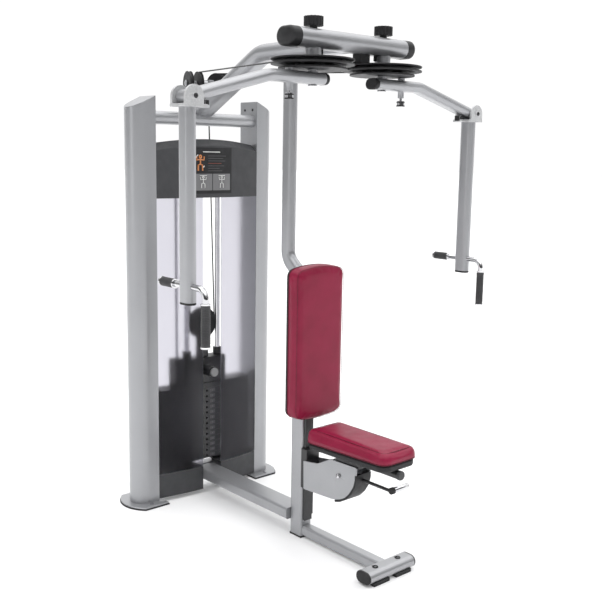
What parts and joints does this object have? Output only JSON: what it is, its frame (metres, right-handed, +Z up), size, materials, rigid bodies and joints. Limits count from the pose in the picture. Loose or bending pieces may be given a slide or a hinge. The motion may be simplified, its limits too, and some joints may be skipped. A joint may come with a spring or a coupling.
{
  "type": "pec deck machine",
  "caption": "Seated chest fly and rear delt machine with hanging swing arms on overhead cams, a boom, an enclosed weight stack tower and a height-adjustable seat.",
  "frame": {"origin": "on the floor under the middle of the whole machine's box", "axes": "+Z up, the seated user faces -Y away from the weight tower, +X to the right seen from the front"},
  "size_m": [1.52, 1.395, 2.077],
  "materials": {
    "silver_paint": "fine metallic silver powder coat",
    "charcoal_plastic": "fine moulded texture",
    "black_plastic": "satin moulded plastic",
    "black_rubber": "matte rubber",
    "frosted_panel": "frosted translucent sheet",
    "black_paint": "semi-gloss black enamel",
    "polished_steel": "bright chrome",
    "burgundy_vinyl": "grained upholstery vinyl",
    "cast_silver": "light grey painted casting",
    "cable_coat": "nylon-coated steel cable"
  },
  "bodies": {
    "root": {"uprights": "silver_paint", "upright_caps": "silver_paint", "foot_plates": "silver_paint", "rubber_pads": "black_rubber", "tower_cross_tube": "silver_paint", "tower_cross_members": "silver_paint", "base_shroud": "charcoal_plastic", "top_shroud": "charcoal_plastic", "placard": "black_plastic", "tower_panels": "frosted_panel", "guide_rods": "polished_steel", "weight_plates": "black_paint", "stack_bumpers": "black_rubber", "base_beams": "silver_paint", "front_foot": "silver_paint", "crossbar": "silver_paint", "tube_end_caps": "black_plastic", "lower_column": "silver_paint", "boom": "silver_paint", "upper_column": "silver_paint", "pivot_shafts": "polished_steel", "pivot_housings": "silver_paint", "pivot_knobs": "black_plastic", "cam_stops": "black_rubber", "cam_cables": "cable_coat", "cable_drops": "cable_coat", "idler_bracket": "silver_paint", "backrest_cushion": "burgundy_vinyl", "backrest_board": "black_plastic", "seat_rail": "black_paint"},
    "head": {"head_plate": "black_paint", "cable_loop": "cable_coat"},
    "floating_pulley": {"floating_pulley": "black_plastic"},
    "selector_pin": {"selector_pin": "polished_steel"},
    "increment_weight": {"increment_weight": "black_paint"},
    "seat": {"seat_bracket": "silver_paint", "seat_slide": "black_paint", "seat_base": "black_plastic", "seat_cushion": "burgundy_vinyl"},
    "seat_lever": {"seat_lever": "black_paint"},
    "left_cam": {"left_cam": "black_plastic"},
    "left_idlers": {"left_idler_pulleys": "black_plastic"},
    "left_arm": {"left_arm": "silver_paint", "left_arm_plug": "black_plastic"},
    "left_pin": {"left_index_pin": "polished_steel"},
    "left_forearm": {"left_clevis": "cast_silver", "left_forearm": "silver_paint", "left_forearm_plug": "black_rubber", "left_handle_bar": "polished_steel", "left_handle_grips": "black_rubber"},
    "right_cam": {"right_cam": "black_plastic"},
    "right_idlers": {"right_idler_pulleys": "black_plastic"},
    "right_arm": {"right_arm": "silver_paint", "right_arm_plug": "black_plastic"},
    "right_pin": {"right_index_pin": "polished_steel"},
    "right_forearm": {"right_clevis": "cast_silver", "right_forearm": "silver_paint", "right_forearm_plug": "black_rubber", "right_handle_bar": "polished_steel", "right_handle_grips": "black_rubber"}
  },
  "joints": [
    {"name": "left_cam_swing", "type": "hinge", "parent": "root", "child": "left_cam", "pos_m": [-0.18, -0.3635, 1.915], "axis": [0, 0, 1], "range_deg": [0, 80]},
    {"name": "left_arm_start", "type": "hinge", "parent": "left_cam", "child": "left_arm", "pos_m": [-0.18, -0.3635, 1.862], "axis": [0, 0, 1], "range_deg": [-80, 0]},
    {"name": "left_index_pull", "type": "slide", "parent": "left_arm", "child": "left_pin", "axis": [0, 0, 1], "range_m": [0, 0.009]},
    {"name": "left_forearm_swing", "type": "hinge", "parent": "left_arm", "child": "left_forearm", "pos_m": [-0.722, -0.3635, 1.772], "axis": [0, 1, 0], "range_deg": [0, 30]},
    {"name": "left_idler_spin", "type": "hinge", "parent": "root", "child": "left_idlers", "pos_m": [-0.049, 0.5345, 1.892], "axis": [-0.9652, 0.2614, 0], "range_deg": [-180, 180]},
    {"name": "right_cam_swing", "type": "hinge", "parent": "root", "child": "right_cam", "pos_m": [0.18, -0.3635, 1.915], "axis": [0, 0, -1], "range_deg": [0, 80]},
    {"name": "right_arm_start", "type": "hinge", "parent": "right_cam", "child": "right_arm", "pos_m": [0.18, -0.3635, 1.862], "axis": [0, 0, -1], "range_deg": [-80, 0]},
    {"name": "right_index_pull", "type": "slide", "parent": "right_arm", "child": "right_pin", "axis": [0, 0, 1], "range_m": [0, 0.009]},
    {"name": "right_forearm_swing", "type": "hinge", "parent": "right_arm", "child": "right_forearm", "pos_m": [0.722, -0.3635, 1.772], "axis": [0, -1, 0], "range_deg": [0, 30]},
    {"name": "right_idler_spin", "type": "hinge", "parent": "root", "child": "right_idlers", "pos_m": [0.049, 0.5345, 1.892], "axis": [0.9652, 0.2614, 0], "range_deg": [-180, 180]},
    {"name": "stack_lift", "type": "slide", "parent": "root", "child": "head", "axis": [0, 0, 1], "range_m": [0, 0.153], "deforming": ["cable_drops"]},
    {"name": "pulley_spin", "type": "hinge", "parent": "head", "child": "floating_pulley", "pos_m": [0, 0.5815, 0.803], "axis": [0, 1, 0], "continuous": true},
    {"name": "selector_pull", "type": "slide", "parent": "head", "child": "selector_pin", "axis": [0, -1, 0], "range_m": [0, 0.12]},
    {"name": "increment_lift", "type": "slide", "parent": "head", "child": "increment_weight", "axis": [0, 0, 1], "range_m": [0, 0.3]},
    {"name": "seat_height", "type": "slide", "parent": "root", "child": "seat", "axis": [0, 0, 1], "range_m": [-0.12, 0.12]},
    {"name": "seat_lever_lift", "type": "hinge", "parent": "seat", "child": "seat_lever", "pos_m": [0, -0.4755, 0.345], "axis": [-1, 0, 0], "range_deg": [0, 10], "stiffness_Nm_per_rad": 4, "springref_deg": -20.05}
  ],
  "couplings": [
    {"joint": "right_cam_swing", "follows": "left_cam_swing", "ratio": 1},
    {"joint": "stack_lift", "follows": "left_cam_swing", "m_per_rad": 0.1083},
    {"joint": "left_idler_spin", "follows": "left_cam_swing", "ratio": 2.2102},
    {"joint": "right_idler_spin", "follows": "left_cam_swing", "ratio": -2.2102}
  ]
}
